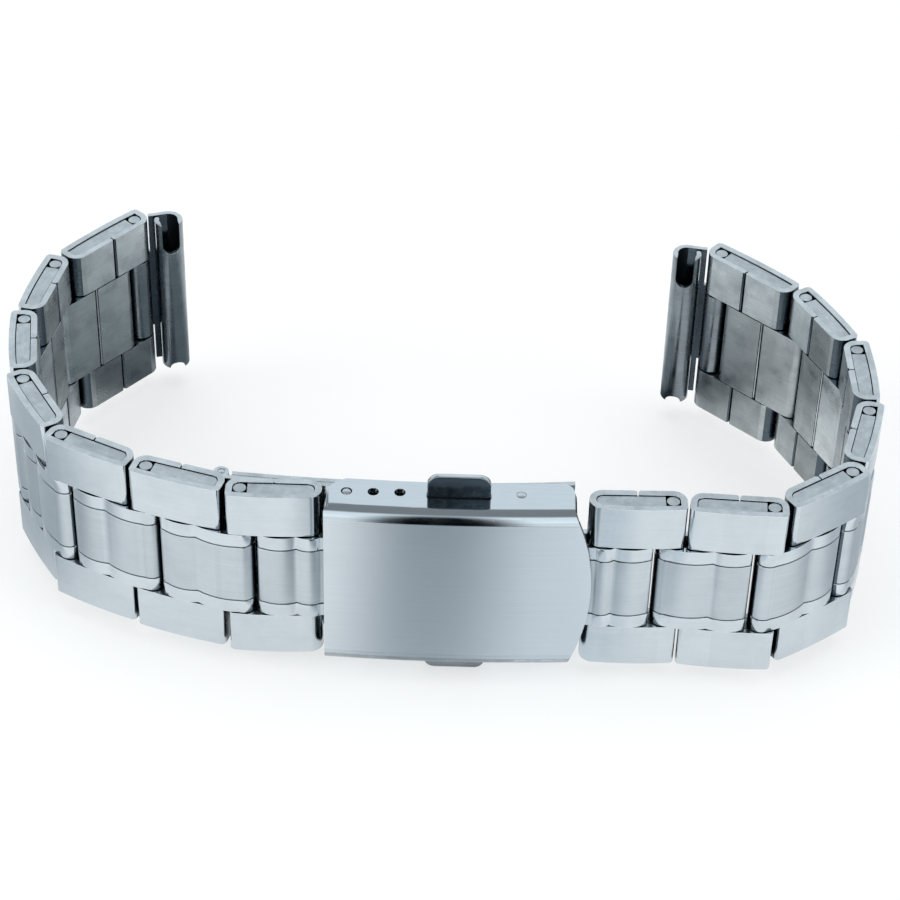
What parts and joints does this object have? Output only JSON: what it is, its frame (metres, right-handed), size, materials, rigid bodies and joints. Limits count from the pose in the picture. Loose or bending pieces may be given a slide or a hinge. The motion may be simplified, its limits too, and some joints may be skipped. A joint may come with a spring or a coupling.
{
  "type": "link watch bracelet",
  "caption": "Metal watch bracelet of folded sheet links in rows, with a push-button folding clasp and spring-bar end pieces.",
  "frame": {"origin": "centre of the footprint, on the plane under the lower button", "axes": "+X along the clasp to the hinge end, +Y from the clasp to the watch, +Z across the band"},
  "size_m": [0.0815, 0.0442, 0.0233],
  "materials": {
    "brushed_steel": "stainless steel, brushed along the band",
    "polished_steel": "stainless steel, polished",
    "inner_steel": "stainless steel, plain stamped"
  },
  "bodies": {
    "clasp_cover": {"clasp_cover": "brushed_steel", "button_guides": "inner_steel", "cover_hinge_pin": "polished_steel", "spring_bar_tube": "polished_steel", "latch_spring": "inner_steel", "spring_bar_coil": "inner_steel"},
    "inner_blade": {"inner_blade": "polished_steel", "fold_hinge_pin": "polished_steel"},
    "outer_blade": {"outer_blade": "polished_steel", "band_hinge_pin": "polished_steel"},
    "upper_button": {"upper_button": "polished_steel"},
    "lower_button": {"lower_button": "polished_steel"},
    "spring_bar_upper_tip": {"spring_bar_upper_tip": "polished_steel"},
    "spring_bar_lower_tip": {"spring_bar_lower_tip": "polished_steel"},
    "left_link_1": {"left_outer_links_1": "polished_steel", "left_centre_link_1": "brushed_steel", "left_link_core_1": "inner_steel"},
    "left_link_2": {"left_outer_links_2": "polished_steel", "left_centre_link_2": "brushed_steel", "left_link_core_2": "inner_steel"},
    "left_link_3": {"left_outer_links_3": "polished_steel", "left_centre_link_3": "brushed_steel", "left_link_core_3": "inner_steel"},
    "left_link_4": {"left_outer_links_4": "polished_steel", "left_centre_link_4": "brushed_steel", "left_link_core_4": "inner_steel"},
    "left_link_5": {"left_outer_links_5": "polished_steel", "left_centre_link_5": "brushed_steel", "left_link_core_5": "inner_steel"},
    "left_link_6": {"left_outer_links_6": "polished_steel", "left_centre_link_6": "brushed_steel", "left_link_core_6": "inner_steel"},
    "left_link_7": {"left_outer_links_7": "polished_steel", "left_centre_link_7": "brushed_steel", "left_link_core_7": "inner_steel"},
    "left_end_piece": {"left_end_piece": "polished_steel"},
    "right_link_1": {"right_outer_links_1": "polished_steel", "right_centre_link_1": "brushed_steel", "right_link_core_1": "inner_steel"},
    "right_link_2": {"right_outer_links_2": "polished_steel", "right_centre_link_2": "brushed_steel", "right_link_core_2": "inner_steel"},
    "right_link_3": {"right_outer_links_3": "polished_steel", "right_centre_link_3": "brushed_steel", "right_link_core_3": "inner_steel"},
    "right_link_4": {"right_outer_links_4": "polished_steel", "right_centre_link_4": "brushed_steel", "right_link_core_4": "inner_steel"},
    "right_link_5": {"right_outer_links_5": "polished_steel", "right_centre_link_5": "brushed_steel", "right_link_core_5": "inner_steel"},
    "right_link_6": {"right_outer_links_6": "polished_steel", "right_centre_link_6": "brushed_steel", "right_link_core_6": "inner_steel"},
    "right_link_7": {"right_outer_links_7": "polished_steel", "right_centre_link_7": "brushed_steel", "right_link_core_7": "inner_steel"},
    "right_end_piece": {"right_end_piece": "polished_steel"}
  },
  "joints": [
    {"name": "clasp_opening", "type": "hinge", "parent": "clasp_cover", "child": "inner_blade", "pos_m": [0.00733, -0.01928, 0.01165], "axis": [0, 0, -1], "range_deg": [0, 170]},
    {"name": "blade_unfolding", "type": "hinge", "parent": "inner_blade", "child": "outer_blade", "pos_m": [-0.01937, -0.01633, 0.01165], "axis": [0, 0, 1], "range_deg": [0, 170]},
    {"name": "upper_button_press", "type": "slide", "parent": "clasp_cover", "child": "upper_button", "axis": [0, 0, -1], "range_m": [0, 0.001], "stiffness_N_per_m": 25, "springref_m": -0.012, "deforming": ["latch_spring"]},
    {"name": "lower_button_press", "type": "slide", "parent": "clasp_cover", "child": "lower_button", "axis": [0, 0, 1], "range_m": [0, 0.001], "stiffness_N_per_m": 25, "springref_m": -0.012},
    {"name": "bar_upper_tip_slide", "type": "slide", "parent": "clasp_cover", "child": "spring_bar_upper_tip", "axis": [0, 0, -1], "range_m": [0, 0.0009], "stiffness_N_per_m": 20, "springref_m": -0.001, "deforming": ["spring_bar_coil"]},
    {"name": "bar_lower_tip_slide", "type": "slide", "parent": "clasp_cover", "child": "spring_bar_lower_tip", "axis": [0, 0, 1], "range_m": [0, 0.0009], "stiffness_N_per_m": 20, "springref_m": -0.001},
    {"name": "left_hinge_1", "type": "hinge", "parent": "clasp_cover", "child": "left_link_1", "pos_m": [-0.00807, -0.01938, 0.01165], "axis": [0, 0, -1], "range_deg": [-15, 1]},
    {"name": "left_hinge_2", "type": "hinge", "parent": "left_link_1", "child": "left_link_2", "pos_m": [-0.01747, -0.01938, 0.01165], "axis": [0, 0, -1], "range_deg": [-32, 2]},
    {"name": "left_hinge_3", "type": "hinge", "parent": "left_link_2", "child": "left_link_3", "pos_m": [-0.02598, -0.01678, 0.01165], "axis": [0, 0, -1], "range_deg": [-24, 32]},
    {"name": "left_hinge_4", "type": "hinge", "parent": "left_link_3", "child": "left_link_4", "pos_m": [-0.03398, -0.01288, 0.01165], "axis": [0, 0, -1], "range_deg": [-49, 7]},
    {"name": "left_hinge_5", "type": "hinge", "parent": "left_link_4", "child": "left_link_5", "pos_m": [-0.03843, -0.00517, 0.01165], "axis": [0, 0, -1], "range_deg": [-38, 18]},
    {"name": "left_hinge_6", "type": "hinge", "parent": "left_link_5", "child": "left_link_6", "pos_m": [-0.03952, 0.00366, 0.01165], "axis": [0, 0, -1], "range_deg": [-34, 22]},
    {"name": "left_hinge_7", "type": "hinge", "parent": "left_link_6", "child": "left_link_7", "pos_m": [-0.03767, 0.01237, 0.01165], "axis": [0, 0, -1], "range_deg": [-45, 11]},
    {"name": "left_end_hinge", "type": "hinge", "parent": "left_link_7", "child": "left_end_piece", "pos_m": [-0.03084, 0.01995, 0.01165], "axis": [0, 0, -1], "range_deg": [-62, 28]},
    {"name": "right_hinge_1", "type": "hinge", "parent": "outer_blade", "child": "right_link_1", "pos_m": [0.01178, -0.01973, 0.01165], "axis": [0, 0, 1], "range_deg": [-2, 8]},
    {"name": "right_hinge_2", "type": "hinge", "parent": "right_link_1", "child": "right_link_2", "pos_m": [0.02068, -0.01957, 0.01165], "axis": [0, 0, 1], "range_deg": [-11, 45]},
    {"name": "right_hinge_3", "type": "hinge", "parent": "right_link_2", "child": "right_link_3", "pos_m": [0.02956, -0.02004, 0.01165], "axis": [0, 0, 1], "range_deg": [-53, 3]},
    {"name": "right_hinge_4", "type": "hinge", "parent": "right_link_3", "child": "right_link_4", "pos_m": [0.03685, -0.01494, 0.01165], "axis": [0, 0, 1], "range_deg": [-55, 1]},
    {"name": "right_hinge_5", "type": "hinge", "parent": "right_link_4", "child": "right_link_5", "pos_m": [0.03916, -0.00634, 0.01165], "axis": [0, 0, 1], "range_deg": [-32, 24]},
    {"name": "right_hinge_6", "type": "hinge", "parent": "right_link_5", "child": "right_link_6", "pos_m": [0.03885, 0.00256, 0.01165], "axis": [0, 0, 1], "range_deg": [-41, 15]},
    {"name": "right_hinge_7", "type": "hinge", "parent": "right_link_6", "child": "right_link_7", "pos_m": [0.03467, 0.01041, 0.01165], "axis": [0, 0, 1], "range_deg": [-36, 20]},
    {"name": "right_end_hinge", "type": "hinge", "parent": "right_link_7", "child": "right_end_piece", "pos_m": [0.02697, 0.01711, 0.01165], "axis": [0, 0, 1], "range_deg": [-61, 29]}
  ],
  "couplings": [
    {"joint": "blade_unfolding", "follows": "clasp_opening", "ratio": 1}
  ]
}
